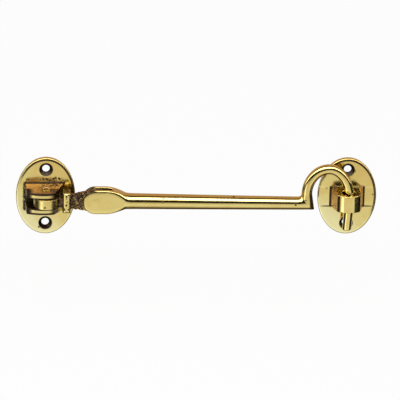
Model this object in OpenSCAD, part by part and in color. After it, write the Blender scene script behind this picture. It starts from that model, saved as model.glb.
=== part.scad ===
// Cabin hook: a cast brass hook and eye latch with a two-way knuckle joint.
// X runs along the arm towards the eye, Z is up as fitted on a wall, and the
// wall is the plane Y = 0, so every piece stands out of it towards -Y.

/* [Back plates] */
// Height of each oval back plate
plate_h = 40.4; // [36:0.4:50]
// Width of each oval back plate
plate_w = 29.8; // [26:0.2:40]
// Thickness of each back plate
plate_t = 2.8; // [2.2:0.1:4]
// Radius of the rounding along each plate's front edge
plate_edge_r = 1.4; // [0.4:0.1:1.8]
// Distance between the two screw holes of a plate
screw_spacing = 28.4; // [26:0.2:31]
// Diameter of each screw hole
screw_hole_d = 3.8; // [3:0.1:4.5]
// Diameter of the countersink at the plate's face
screw_head_d = 6.8; // [6:0.1:7.4]
// Distance between the centres of the two plates
plate_pitch = 152.4; // [110:0.2:260]
// Distance from the wall to the middle plane of the hook
hook_plane = 10.4; // [9.6:0.1:13]

/* [Lugs on the hook plate] */
// Half the height of the lugs at the plate
lug_root_z = 7.2; // [6.4:0.1:9]
// Half the height of the lugs at their nose
lug_nose_z = 5.6; // [5.2:0.1:6.4]
// Distance from the wall to the lugs' nose
lug_reach = 15.6; // [14.4:0.1:19]
// Radius of the rounded nose, seen from above
lug_nose_r = 14; // [10:0.5:18]
// Half the width of the lugs on their sloping side, at the plate
lug_root_w = 9.5; // [8:0.1:11]
// Half the width of the lugs on their square side, at the plate
lug_foot_w = 10.6; // [8:0.1:11.5]
// Half the width of the lugs on their square side, at the nose
lug_square_w = 9.6; // [7:0.1:10.2]
// Half the width of the lugs on their sloping side, at the nose
lug_slope_w = 3.4; // [3:0.1:5]

/* [Knuckle] */
// Diameter of the barrel between the lugs
barrel_d = 13; // [8:0.1:13.4]
// Height of the barrel
barrel_h = 4.9; // [4:0.1:6]
// Distance from the upright pin to the shoulder
shoulder_x = 8.2; // [8:0.1:12]
// Length of the shoulder along the arm
shoulder_l = 4; // [3:0.1:5]
// Height of the shoulder
shoulder_h = 10.8; // [9:0.1:13]
// Thickness of the shoulder out of the wall
shoulder_t = 7.6; // [6:0.1:9]
// Rounding of the shoulder's edges
shoulder_r = 1.5; // [0.6:0.1:1.5]
// Thickness of the web between the barrel and the shoulder
web_t = 5; // [4:0.1:6.6]
// Thickness of the tongue
tongue_t = 3.4; // [2.6:0.1:4.4]
// Diameter of the tongue's round end
tongue_d = 11.4; // [10:0.1:12]
// Height of the tongue where it leaves the shoulder
tongue_neck_h = 7; // [5:0.1:9]
// Distance from the upright pin to the cross pin
pin_pitch = 24.6; // [24:0.1:30]
// Height of the cross pin above the shank's middle line
fork_rise = 0.6; // [0:0.1:1]

/* [Pins] */
// Diameter of the upright pin through the lugs
upright_pin_d = 4.8; // [3.6:0.1:5]
// Depth of the pin's ends below the lugs' faces
pin_sink = 0.7; // [0.2:0.1:1.2]
// Diameter of the cross pin through the fork
cross_pin_d = 4; // [3:0.1:5]
// Running gap between a pin and the bore that turns on it
pin_gap = 0.05; // [0.02:0.01:0.1]
// Sliding gap beside the barrel and the tongue
side_gap = 0.1; // [0.05:0.01:0.2]

/* [Arm] */
// Thickness of the forked end out of the wall
fork_t = 8.3; // [7:0.1:10]
// Height of the forked end
fork_h = 12.4; // [11:0.1:14]
// Length of the fork from the cross pin to where its sides turn in
fork_l = 6.2; // [4:0.1:10]
// Length over which the fork narrows to the shank
fork_taper_l = 6.6; // [5:0.1:12]
// Rounding of the fork's edges
fork_edge_r = 0.9; // [0.4:0.1:1.2]
// Length of the slot from the cross pin to its blind end
slot_l = 8.6; // [7.5:0.1:10]
// Diameter of the shank at the fork
shank_d = 8.3; // [6.5:0.1:8.4]
// Diameter of the shank at the heel
heel_d = 6.7; // [5:0.1:7]
// How far the shank's middle drops from the fork to the heel
heel_drop = 0.8; // [0:0.1:1.5]
// Half the width of the hook's bend, to the middle of the bar
bend_r = 10.9; // [9:0.1:14]
// Height of the bend's top above the shank, to the middle of the bar
bend_top = 17.3; // [13:0.1:24]
// Radius of the fillet inside the heel
heel_fillet = 1.6; // [0.6:0.1:3]
// Height above the shank at which the bar runs straight down again
leg_rise = 1; // [0:0.1:6]
// Diameter of the bar at the start of the bend
bend_start_d = 5.4; // [4.5:0.1:6]
// Diameter of the bar at the end of the bend
bend_end_d = 4.8; // [3.8:0.1:5]
// Depth below the shank's middle line at which the tip starts to taper
taper_drop = 6.5; // [5:0.1:9]
// Diameter of the bar at its tip
tip_d = 4; // [3:0.1:4.6]
// Depth of the tip below the shank's middle line
tip_drop = 15.1; // [12:0.1:20]
// Bevel round the tip's end
tip_bevel = 0.4; // [0.1:0.05:0.8]

/* [Eye] */
// Diameter of the eye's hole
eye_hole_d = 6.6; // [6:0.1:8]
// Thickness of the eye's wall at its nose
eye_wall = 2.3; // [1.6:0.1:3]
// Gap between the hook's leg and the side of the eye that it pulls against
seat_gap = 0.3; // [0.1:0.05:0.5]
// Half the width of the eye at the plate
eye_root_w = 8.4; // [8:0.1:10]
// Half the width of the eye at its nose
eye_nose_w = 5.2; // [5:0.1:7]
// Radius of the eye's rounded nose, seen from above
eye_nose_r = 7.6; // [6:0.1:12]
// Half the height of the eye at the plate
eye_root_z = 5.3; // [4.6:0.1:6.5]
// Half the height of the eye at its nose
eye_nose_z = 4.3; // [3.6:0.1:4.6]
// Depth of the milled band either side of the eye
band_depth = 0.25; // [0.1:0.05:0.5]

/* [Hidden] */
$fn = 64;

polished_brass = "#d8b84f";
cast_brass = "#8a6a35";
pin_brass = "#b08a3c";

// Overlap that lets a cut pass right through, or a boss sink into its plate
through = 1;
root_sink = 0.8;
// Sides of the ellipse, of the bar and of a rounded hull
oval_sides = 96;
bar_sides = 32;
hull_sides = 32;
// Steps round the heel, an even count so that one of them makes its corner, and round the bend
heel_steps = 8;
bend_steps = 20;
// Space behind the barrel, so that it turns clear of the slot's floor
barrel_back_gap = 0.6;

barrel_r = barrel_d / 2;
slot_h = barrel_h + 2 * side_gap;
slot_floor = hook_plane - barrel_r - barrel_back_gap;
fork_slot_w = tongue_t + 2 * side_gap;
shoulder_end = shoulder_x + shoulder_l;
eye_reach = hook_plane + eye_hole_d / 2 + eye_wall;
leg_x = plate_pitch + (eye_hole_d - bend_end_d) / 2 - seat_gap;
riser_x = leg_x - 2 * bend_r;
riser_rise = heel_d / 2 + heel_fillet - heel_drop;
heel_x = riser_x - bend_start_d / 2 - heel_fillet;
taper_x = pin_pitch + fork_l + fork_taper_l;

// Half the height of a wedge at a distance from the wall, from its root and its nose
function wedge_z(at, root_z, nose_z, reach) =
    root_z + (nose_z - root_z) * (at - plate_t) / (reach - plate_t);

// Half the height of the lugs where the upright pin goes through
lug_pin_z = wedge_z(hook_plane, lug_root_z, lug_nose_z, lug_reach);
upright_pin_l = 2 * (lug_pin_z - pin_sink);

// Points of an ellipse of the given width and height
function oval(w, h) =
    [for (i = [0:oval_sides - 1]) let (a = 360 * i / oval_sides) [w / 2 * cos(a), h / 2 * sin(a)]];

// The point where a line from p touches a circle of radius r round c, on the given side
function touch_point(p, c, r, side) =
    let (d = c - p, away = atan2(d.y, d.x), turn = acos(r / norm(d)))
    c + r * [cos(away + 180 + side * turn), sin(away + 180 + side * turn)];

// Lays a 2D outline drawn as X and height on the wall and pulls it out of the wall
module out_of_wall(from, to) {
    translate([0, -from, 0]) rotate([90, 0, 0]) linear_extrude(to - from) children();
}

// The wedge between two sloping faces, as seen from the side, wide enough for any boss
module wedge(root_z, nose_z, reach, half_w) {
    back = plate_t - root_sink;
    back_z = wedge_z(back, root_z, nose_z, reach);
    front = reach + through;
    front_z = wedge_z(front, root_z, nose_z, reach);
    translate([-half_w, 0, 0]) rotate([90, 0, 90]) linear_extrude(2 * half_w)
        polygon([[-back, back_z], [-back, -back_z], [-front, -front_z], [-front, front_z]]);
}

// Oval plate with a rounded front edge, on the wall
module oval_plate() {
    hull() {
        out_of_wall(0, plate_t - plate_edge_r) polygon(oval(plate_w, plate_h));
        for (turn = [30, 60, 90]) {
            inset = plate_edge_r * (1 - cos(turn));
            depth = plate_t - plate_edge_r * (1 - sin(turn));
            out_of_wall(depth - 0.01, depth) polygon(oval(plate_w - 2 * inset, plate_h - 2 * inset));
        }
    }
}

// Two countersunk screw holes, one above the other
module screw_holes() {
    sink = (screw_head_d - screw_hole_d) / 2;
    for (side = [-1, 1]) translate([0, 0, side * screw_spacing / 2]) rotate([90, 0, 0]) {
        translate([0, 0, -through]) cylinder(h = plate_t + 2 * through, d = screw_hole_d);
        translate([0, 0, plate_t - sink]) cylinder(h = sink, d1 = screw_hole_d, d2 = screw_head_d);
        translate([0, 0, plate_t]) cylinder(h = through, d = screw_head_d);
    }
}

// Outline of a boss from above: two straight flanks and a round nose
module boss_outline(left_root_w, root_w, left_nose_w, right_nose_w, reach, nose_r) {
    back = plate_t - root_sink;
    intersection() {
        polygon([[-left_root_w, -back], [-left_nose_w, -reach], [right_nose_w, -reach], [root_w, -back]]);
        translate([(right_nose_w - left_nose_w) / 4, nose_r - reach]) {
            circle(r = nose_r, $fn = 128);
            translate([-2 * left_root_w, 0]) square([4 * left_root_w, reach]);
        }
    }
}

// Back plate with the two lugs that carry the knuckle
module hook_backplate() {
    color(polished_brass) difference() {
        union() {
            oval_plate();
            intersection() {
                translate([0, 0, -lug_root_z - through])
                    linear_extrude(2 * (lug_root_z + through))
                    boss_outline(lug_foot_w, lug_root_w, lug_square_w, lug_slope_w, lug_reach, lug_nose_r);
                wedge(lug_root_z, lug_nose_z, lug_reach, lug_foot_w + through);
            }
        }
        // Slot for the barrel
        translate([-lug_foot_w - through, -lug_reach - through, -slot_h / 2])
            cube([2 * (lug_foot_w + through), lug_reach + through - slot_floor, slot_h]);
        // Hole for the upright pin
        translate([0, -hook_plane, -lug_root_z - through])
            cylinder(h = 2 * (lug_root_z + through), d = upright_pin_d);
        screw_holes();
    }
}

// Rivet through the lugs and the barrel
module upright_pin() {
    color(pin_brass) translate([0, -hook_plane, -upright_pin_l / 2])
        cylinder(h = upright_pin_l, d = upright_pin_d);
}

// Outline of the tongue from the front: a neck that swells to a round end
module tongue_outline() {
    eye = [pin_pitch, fork_rise];
    top = [shoulder_end - through, tongue_neck_h / 2];
    bottom = [top.x, -top.y];
    translate(eye) circle(d = tongue_d);
    polygon([top, touch_point(top, eye, tongue_d / 2, -1), touch_point(bottom, eye, tongue_d / 2, 1), bottom]);
}

// Rectangle with rounded corners, about its middle
module rounded_square(w, h, r) {
    square([w - 2 * r, h], center = true);
    square([w, h - 2 * r], center = true);
    for (x = [-1, 1], y = [-1, 1]) translate([x * (w / 2 - r), y * (h / 2 - r)]) circle(r = r);
}

// Shoulder, rounded on its upright edges and along its top and bottom
module shoulder() {
    translate([shoulder_x + shoulder_l / 2, -hook_plane, 0]) intersection() {
        linear_extrude(shoulder_h, center = true) rounded_square(shoulder_l, shoulder_t, shoulder_r);
        rotate([90, 0, 90]) linear_extrude(shoulder_l, center = true)
            rounded_square(shoulder_t, shoulder_h, shoulder_r);
    }
}

// Swivel link: a barrel on the upright pin, a shoulder, and a tongue for the fork
module knuckle() {
    color(cast_brass) difference() {
        union() {
            translate([0, -hook_plane, -barrel_h / 2]) {
                cylinder(h = barrel_h, r = barrel_r);
                translate([0, -web_t / 2, 0]) cube([shoulder_x + shoulder_r, web_t, barrel_h]);
            }
            shoulder();
            out_of_wall(hook_plane - tongue_t / 2, hook_plane + tongue_t / 2) tongue_outline();
        }
        translate([0, -hook_plane, -barrel_h]) cylinder(h = 2 * barrel_h, d = upright_pin_d + 2 * pin_gap);
        translate([pin_pitch, -hook_plane, fork_rise]) rotate([90, 0, 0])
            cylinder(h = 2 * tongue_t, d = cross_pin_d + 2 * pin_gap, center = true);
    }
}

// Rivet through the fork and the tongue, ground flush with the fork's faces
module cross_pin() {
    color(pin_brass) translate([pin_pitch, -hook_plane, fork_rise]) rotate([90, 0, 0])
        cylinder(h = fork_t, d = cross_pin_d, center = true);
}

// Flat end of the arm, as one rounded slab round three circles
module fork_slab() {
    // Each round is its place along the arm, its height and its radius
    rounds = [[0, fork_rise, fork_h / 2], [fork_l, fork_rise, fork_h / 2],
        [fork_l + fork_taper_l, 0, shank_d / 2]];
    // Each layer is its half thickness and how far its outline is drawn in
    layers = [[fork_t / 2, fork_edge_r], [fork_t / 2 - 0.3 * fork_edge_r, 0.3 * fork_edge_r],
        [fork_t / 2 - fork_edge_r, 0]];
    translate([pin_pitch, -hook_plane, 0]) rotate([90, 0, 0]) hull()
        for (spot = rounds, layer = layers) translate([spot[0], spot[1], 0])
            cylinder(h = 2 * layer[0], r = spot[2] - layer[1], center = true, $fn = hull_sides);
}

// One ring of the bar: its middle, its radius, its lean from upright across X and its stretch along the lean
function ring(at, r, lean, stretch = 1) =
    [for (i = [0:bar_sides - 1]) let (a = 360 * i / bar_sides, side = r * stretch * cos(a))
        [at.x + side * sin(lean), -hook_plane + r * sin(a), at.y + side * cos(lean)]];

// Distance from the fillet's centre to the heel's outer side, square at the corner and drawn in above it
function heel_out(a) = let (
        corner = heel_d + heel_fillet,
        top = bend_start_d + heel_fillet,
        slant = (corner - top) / corner
    ) a <= 45 ? corner / cos(a) : top / (sin(a) - slant * cos(a));

// A ring of the heel, turned by a round the centre of the inside fillet
function heel_ring(a) = let (
        out = heel_out(a),
        reach = (out + heel_fillet) / 2,
        r = (heel_d + (bend_start_d - heel_d) * a / 90) / 2,
        middle = [heel_x + reach * sin(a), riser_rise - reach * cos(a)]
    ) ring(middle, r, -a, (out - heel_fillet) / 2 / r);

// A ring of the bend, at a from 0 on the riser to 180 on the leg
function bend_ring(a) = let (
        base = a < 90 ? riser_rise : leg_rise,
        height = bend_top - base,
        r = (bend_start_d + (bend_end_d - bend_start_d) * a / 180) / 2
    ) ring([riser_x + bend_r * (1 - cos(a)), base + height * sin(a)], r, atan2(-height * cos(a), bend_r * sin(a)));

// The bar's rings: tapered shank, heel, bend and tip
function bar_rings() = let (
        start_x = pin_pitch + fork_l,
        shank_slope = (heel_d - shank_d) / 2 / (heel_x - taper_x),
        start_r = shank_d / 2 + shank_slope * (start_x - taper_x)
    ) concat(
        [ring([start_x, 0], start_r - tip_bevel, 0)],
        [ring([taper_x, 0], shank_d / 2, 0)],
        [for (i = [0:heel_steps - 1]) heel_ring(90 * i / heel_steps)],
        [for (i = [0:bend_steps]) bend_ring(180 * i / bend_steps)],
        [ring([leg_x, -taper_drop], bend_end_d / 2, 90)],
        [ring([leg_x, tip_bevel - tip_drop], tip_d / 2, 90)],
        [ring([leg_x, -tip_drop], tip_d / 2 - tip_bevel, 90)]
    );

// Round bar swept through its rings
module bar() {
    rings = bar_rings();
    last = len(rings) - 1;
    points = [for (r = rings) each r];
    sides = [for (k = [0:last - 1], i = [0:bar_sides - 1])
        let (j = (i + 1) % bar_sides, a = k * bar_sides)
        each [[a + i, a + j, a + bar_sides + j], [a + i, a + bar_sides + j, a + bar_sides + i]]];
    polyhedron(concat(points), concat(
        sides,
        [[for (i = [0:bar_sides - 1]) bar_sides - 1 - i]],
        [[for (i = [0:bar_sides - 1]) last * bar_sides + i]]
    ));
}

// Arm: forked end, tapered shank, heel and hook
module hook_arm() {
    slot_reach = fork_h;
    color(polished_brass) difference() {
        union() {
            fork_slab();
            bar();
        }
        translate([pin_pitch - slot_reach, -hook_plane - fork_slot_w / 2, -fork_h])
            cube([slot_reach + slot_l, fork_slot_w, 2 * fork_h]);
        translate([pin_pitch, -hook_plane, fork_rise]) rotate([90, 0, 0])
            cylinder(h = 2 * fork_t, d = cross_pin_d, center = true);
    }
}

// Back plate with the closed eye that the hook drops into
module eye_backplate() {
    color(polished_brass) translate([plate_pitch, 0, 0]) difference() {
        union() {
            difference() {
                oval_plate();
                translate([-plate_w, -plate_t - through, -eye_root_z])
                    cube([2 * plate_w, band_depth + through, 2 * eye_root_z]);
            }
            intersection() {
                translate([0, 0, -eye_root_z - through])
                    linear_extrude(2 * (eye_root_z + through))
                    boss_outline(eye_root_w, eye_root_w, eye_nose_w, eye_nose_w, eye_reach, eye_nose_r);
                wedge(eye_root_z, eye_nose_z, eye_reach, eye_root_w + through);
            }
        }
        translate([0, -hook_plane, -eye_root_z - through])
            cylinder(h = 2 * (eye_root_z + through), d = eye_hole_d);
        screw_holes();
    }
}

hook_backplate();
upright_pin();
knuckle();
cross_pin();
hook_arm();
eye_backplate();
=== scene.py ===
"""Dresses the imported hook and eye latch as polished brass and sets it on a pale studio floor."""

import math
from functools import partial, partialmethod, reduce

import bmesh
import bpy
from bpy.props import FloatProperty, FloatVectorProperty, IntProperty, PointerProperty
from mathutils import Matrix, Vector, noise as turbulence


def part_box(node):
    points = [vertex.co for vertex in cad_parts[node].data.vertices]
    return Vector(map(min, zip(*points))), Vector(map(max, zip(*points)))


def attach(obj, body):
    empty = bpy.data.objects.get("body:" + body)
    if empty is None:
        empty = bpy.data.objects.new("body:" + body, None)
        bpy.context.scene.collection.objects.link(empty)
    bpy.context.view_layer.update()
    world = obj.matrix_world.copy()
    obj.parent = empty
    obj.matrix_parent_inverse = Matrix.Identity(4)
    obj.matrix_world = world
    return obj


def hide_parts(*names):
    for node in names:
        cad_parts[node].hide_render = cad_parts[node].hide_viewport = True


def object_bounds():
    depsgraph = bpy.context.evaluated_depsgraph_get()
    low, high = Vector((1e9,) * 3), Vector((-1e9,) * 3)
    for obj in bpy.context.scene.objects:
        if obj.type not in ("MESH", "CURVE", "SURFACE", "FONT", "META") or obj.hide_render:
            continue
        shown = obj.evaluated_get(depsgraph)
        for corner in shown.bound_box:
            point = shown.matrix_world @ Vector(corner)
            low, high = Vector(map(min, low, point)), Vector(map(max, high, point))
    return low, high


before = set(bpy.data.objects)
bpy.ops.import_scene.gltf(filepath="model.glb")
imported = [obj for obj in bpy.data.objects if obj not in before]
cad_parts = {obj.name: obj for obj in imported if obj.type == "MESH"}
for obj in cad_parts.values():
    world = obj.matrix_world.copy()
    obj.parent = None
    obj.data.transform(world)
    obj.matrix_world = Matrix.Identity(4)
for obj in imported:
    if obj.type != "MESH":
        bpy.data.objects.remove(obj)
CAD_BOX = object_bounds()

bl_info = {
    "name": "Hook and eye latch",
    "version": (1, 0, 0),
    "blender": (4, 5, 0),
    "location": "View3D > Sidebar > Latch",
    "description": "Casts, polishes and stages a brass cabin hook with its eye",
    "category": "Object",
}

MM = 0.001
# Casting dents at the heel: place along the arm, height and radius
HEEL_DENTS = ((125.5 * MM, -0.7 * MM, 0.62 * MM), (130.6 * MM, 1.5 * MM, 0.45 * MM))
# Marks in the brass, how many in a metre
DRIFT, CLOUD, LUMP, MOTTLE, GRIT, TURNING = 24.0, 130.0, 620.0, 900.0, 1500.0, 1400.0
# Edges of the pins and the arm that turn further than this stay sharp
SHARP_TURN = math.radians(50)
# Steps along the arm: fork's end, flat part to shank, shank, heel, bend, and each half of the leg
END_STEPS, TAPER_STEPS, SHANK_STEPS, HEEL_STEPS, BEND_STEPS, LEG_STEPS = 32, 24, 60, 36, 72, 8


def length(name, description, millimetres):
    """A size of the latch, written in millimetres and held in metres."""
    return FloatProperty(name=name, description=description, default=millimetres * MM,
                         min=0.0, precision=5, subtype="DISTANCE", unit="LENGTH")


def tally(name, description, default, least=0):
    """A whole number."""
    return IntProperty(name=name, description=description, default=default, min=least)


def colour(name, description, red, green, blue):
    """A colour of a finish or of the stage, in linear light."""
    return FloatVectorProperty(name=name, description=description, default=(red, green, blue),
                               size=3, min=0.0, max=1.0, subtype="COLOR")


def share(name, description, default):
    """A number from 0 to 1."""
    return FloatProperty(name=name, description=description, default=default,
                         min=0.0, max=1.0, subtype="FACTOR")


def angle(name, description, degrees):
    """An angle, written in degrees and held in radians."""
    return FloatProperty(name=name, description=description, default=math.radians(degrees),
                         subtype="ANGLE", unit="ROTATION")


class LatchArmSizes(bpy.types.PropertyGroup):
    """Sizes of the hook arm, close to those in the part's source."""

    hook_plane: length("Hook plane", "From the wall to the middle of the arm", 10.4)
    pin_pitch: length("Pin pitch", "From the upright pin to the cross pin", 24.6)
    fork_rise: length("Fork rise", "Height of the fork's middle over the shank's", 0.6)
    fork_height: length("Fork height", "Height of the flat end", 12.4)
    fork_thickness: length("Fork thickness", "Thickness of the flat end", 8.3)
    fork_run: length("Fork run", "Even part of the flat end, past the pin", 6.2)
    fork_taper: length("Fork taper", "Part that narrows into the shank", 12.0)
    fork_under: length("Fork under", "How much sooner the underside reaches the shank", 3.0)
    fork_edge: length("Fork edge", "How far the cheeks' edges round over, in depth", 0.6)
    fork_crown: length("Fork crown", "How far the cheeks' edges round over, in the cheek", 2.2)
    slot_width: length("Slot width", "Width of the slot for the tongue", 3.6)
    slot_run: length("Slot run", "Slot past the cross pin", 8.6)
    shank: length("Shank", "Diameter of the shank at the fork", 8.1)
    shank_rise: length("Shank rise", "Height of the shank's middle at the fork", 0.2)
    heel: length("Heel", "Diameter of the shank at the heel", 6.7)
    heel_drop: length("Heel drop", "How far the shank's middle drops to the heel", 0.8)
    heel_at: length("Heel place", "Where the heel's fillet has its middle", 126.9)
    heel_fillet: length("Heel fillet", "Radius of the fillet inside the heel", 1.6)
    riser_at: length("Riser place", "Where the riser goes up", 131.2)
    riser_rise: length("Riser rise", "Where the bend starts on the riser", 4.15)
    leg_rise: length("Leg rise", "Where the bend ends on the leg", 1.0)
    bend_radius: length("Bend radius", "Half the distance from riser to leg", 10.9)
    bend_top: length("Bend top", "Height of the bend's middle line", 17.3)
    bend_start: length("Bend start", "Thickness where the bend starts", 5.4)
    bend_end: length("Bend end", "Thickness where the bend ends", 4.8)
    taper_drop: length("Taper drop", "Where the tip's taper starts, below the middle", 6.5)
    tip: length("Tip", "Diameter of the tip", 4.6)
    tip_lean: length("Tip lean", "How far the tip leans in, towards the riser", 1.0)
    tip_drop: length("Tip drop", "How far the tip goes below the middle", 15.1)
    tip_bevel: length("Tip bevel", "Bevel round the tip's end", 0.4)


class LatchCastSizes(bpy.types.PropertyGroup):
    """Sizes of the plates, how finely the castings are cut and how softly their edges are buffed."""

    plate_pitch: length("Plate pitch", "Between the centres of the two plates", 152.4)
    plate_depth: length("Plate depth", "Thickness of the plates", 2.8)
    screw_spacing: length("Screw spacing", "Between the two screw holes of a plate", 28.4)
    rim_run: length("Rim run", "How far the plates' front edge rounds over, in the face", 1.4)
    rim_drop: length("Rim drop", "How far the plates' front edge rounds over, in depth", 0.55)
    lump_size: length("Lump size", "Size of the lumps on the knuckle's cast tongue", 1.1)
    lump_depth: length("Lump depth", "Depth of the lumps on the knuckle's cast tongue", 0.24)
    tongue_at: length("Tongue place", "Where the knuckle's cast tongue starts", 12.0)
    plate_grain: length("Plate grain", "Mesh size on the two plates", 0.2)
    knuckle_grain: length("Knuckle grain", "Mesh size on the knuckle", 0.15)
    arm_grain: length("Arm grain", "Mesh size on the arm", 0.24)
    plate_buff: tally("Plate buffing", "Passes that soften the plates' edges", 9)
    knuckle_buff: tally("Knuckle buffing", "Passes that soften the knuckle's edges", 10)
    arm_buff: tally("Arm buffing", "Passes that soften the arm's edges", 8)
    pin_edge: length("Pin edge", "Rounding of the pins' ends", 0.35)
    flush_edge: length("Flush edge", "Rounding of the cross pin, ground flush with the fork", 0.02)
    pin_sides: tally("Pin sides", "Faces round a pin", 72, 12)
    bar_sides: tally("Bar sides", "Faces round the arm's bar", 96, 12)


class LatchFinish(bpy.types.PropertyGroup):
    """Colours and polish of the brass; some colours are also painted in as light and shade."""

    brass: colour("Brass", "Polished brass", 0.78, 0.665, 0.25)
    # Also painted as shade on each plate's upper right
    warm_brass: colour("Warm brass", "Brass where the polish is thinner", 0.70, 0.50, 0.16)
    # Also painted as a highlight on each plate's lower left
    pale_brass: colour("Pale brass", "Brass along the brightest buffing lines", 0.86, 0.79, 0.42)
    # Dark brown used both for dirt in pits and for painted shade in corners, crevices and slots
    tarnish_and_shade: colour("Tarnish", "Dark brown left in the corners", 0.030, 0.017, 0.018)
    # Also painted as shade on the knuckle's web
    cast_skin_and_shade: colour("Cast skin", "Dark skin of the unpolished casting", 0.17, 0.11, 0.06)
    # Browner tone painted on the lugs' tops and the eye's flanks as a warm reflection
    painted_lug_top: colour("Lug brass", "Browner brass on the lugs' sloping tops", 0.74, 0.43, 0.20)
    pin_brass: colour("Pin brass", "Ground ends of the pins", 0.62, 0.45, 0.16)
    polish: share("Polish", "Roughness of the polished faces", 0.13)
    dull: share("Dull", "Roughness of the cast skin", 0.5)


class LatchStage(bpy.types.PropertyGroup):
    """Where the camera stands and how the studio is lit."""

    turn: angle("Turn", "Camera's turn round the latch, from the front", -4.5)
    rise: angle("Rise", "Camera's height as an angle", 20.0)
    roll: angle("Roll", "How far the picture leans clockwise", 1.6)
    distance: length("Distance", "From the camera to the latch", 2500.0)
    frame_width: length("Frame width", "Width of the picture at the latch", 202.02)
    aim_along: length("Aim along", "Place on the arm that the camera and the soft box point to", 76.0)
    aim_right: length("Aim right", "Picture's middle, right of that place", 2.07)
    aim_down: length("Aim down", "Picture's middle, below that place", 2.83)
    floor_drop: length("Floor drop", "Room under the latch for the eye plate to slide off the tip", 27.0)
    floor_half: length("Floor half", "Half the floor's width", 3000.0)
    floor: colour("Floor", "Pale studio floor", 0.92, 0.92, 0.92)
    soft_light: FloatProperty(name="Soft light", description="Power of the soft box", default=2.6,
                              subtype="POWER", unit="POWER")
    soft_place: FloatVectorProperty(name="Soft box place", description="From the aimed place to the soft box",
                                    default=(-0.15, -0.6, 0.85), size=3, subtype="XYZ", unit="LENGTH")
    soft_width: length("Soft box width", "Width of the soft box", 1000.0)
    soft_height: length("Soft box height", "Height of the soft box", 600.0)


def rgba(tint):
    """A colour with full cover."""
    return (tint[0], tint[1], tint[2], 1.0)


class Sums:
    """Short names for the nodes of one tree; a value is a number or another node's output."""

    def __init__(self, tree):
        self.tree = tree

    def node(self, kind, inputs=None, **settings):
        """Adds one node."""
        made = self.tree.nodes.new(kind)
        for key, value in settings.items():
            setattr(made, key, value)
        for key, value in (inputs or {}).items():
            if isinstance(value, bpy.types.NodeSocket):
                self.tree.links.new(value, made.inputs[key])
            else:
                made.inputs[key].default_value = value
        return made

    def calc(self, operation, *values):
        """One sum on numbers."""
        return self.node("ShaderNodeMath", dict(enumerate(values)), operation=operation).outputs[0]

    def aim(self, operation, *values):
        """One sum on vectors."""
        return self.node("ShaderNodeVectorMath", dict(enumerate(values)), operation=operation).outputs[0]

    def chain(self, operation, *values):
        """One sum taken over several numbers in turn."""
        return reduce(partial(self.calc, operation), values)

    times = partialmethod(chain, "MULTIPLY")
    plus = partialmethod(chain, "ADD")
    most = partialmethod(chain, "MAXIMUM")
    minus = partialmethod(chain, "SUBTRACT")

    def apart(self, value, middle):
        """How far a value lies from the middle."""
        return self.calc("ABSOLUTE", self.minus(value, middle))

    def away(self, across, along):
        """Distance from two sides of a right angle."""
        return self.calc("SQRT", self.plus(self.times(across, across), self.times(along, along)))

    def fade(self, value, low, high, to_low=0.0, to_high=1.0):
        """A value between two limits, spread smoothly over two others."""
        return self.node("ShaderNodeMapRange", {0: value, 1: low, 2: high, 3: to_low, 4: to_high},
                         interpolation_type="SMOOTHSTEP").outputs[0]

    def near(self, value, middle, half):
        """One at the middle of a range, falling to nothing at its ends."""
        return self.fade(self.apart(value, middle), half, half * 0.6)

    def blend(self, factor, first, second):
        """Two colours mixed."""
        return self.node("ShaderNodeMix", {0: factor, 6: first, 7: second}, data_type="RGBA").outputs[2]

    def noise(self, place, scale, detail=3.0, roughness=0.55):
        """Cloudy marks; the scale is how many there are in a metre."""
        return self.node("ShaderNodeTexNoise", {"Vector": place, "Scale": scale, "Detail": detail,
                                                "Roughness": roughness}).outputs[0]

    def corner(self, distance):
        """Falls below one in corners of about that size."""
        return self.node("ShaderNodeAmbientOcclusion", {"Distance": distance}, samples=6).outputs["AO"]

    def bump(self, strength, distance, height):
        """A relief for the shader's normal."""
        return self.node("ShaderNodeBump", {"Strength": strength, "Distance": distance,
                                            "Height": height}).outputs[0]


def emptied(thing):
    """The tree of a new material or world, without its first nodes."""
    thing.use_nodes = True
    thing.node_tree.nodes.clear()
    return thing.node_tree


def bare_material(name):
    """A new metal's tree, its shader and the place on the piece."""
    sums = Sums(emptied(bpy.data.materials.new(name)))
    shader = sums.node("ShaderNodeBsdfPrincipled", {"Metallic": 1.0})
    sums.node("ShaderNodeOutputMaterial", {0: shader.outputs[0]})
    return sums.tree, shader, sums.node("ShaderNodeTexCoord").outputs["Object"]


def dress(tree, shader, tone, rough, relief):
    """Feeds a shader its colour, roughness and relief."""
    tree.links.new(tone, shader.inputs["Base Color"])
    tree.links.new(rough, shader.inputs["Roughness"])
    tree.links.new(relief, shader.inputs["Normal"])


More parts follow.
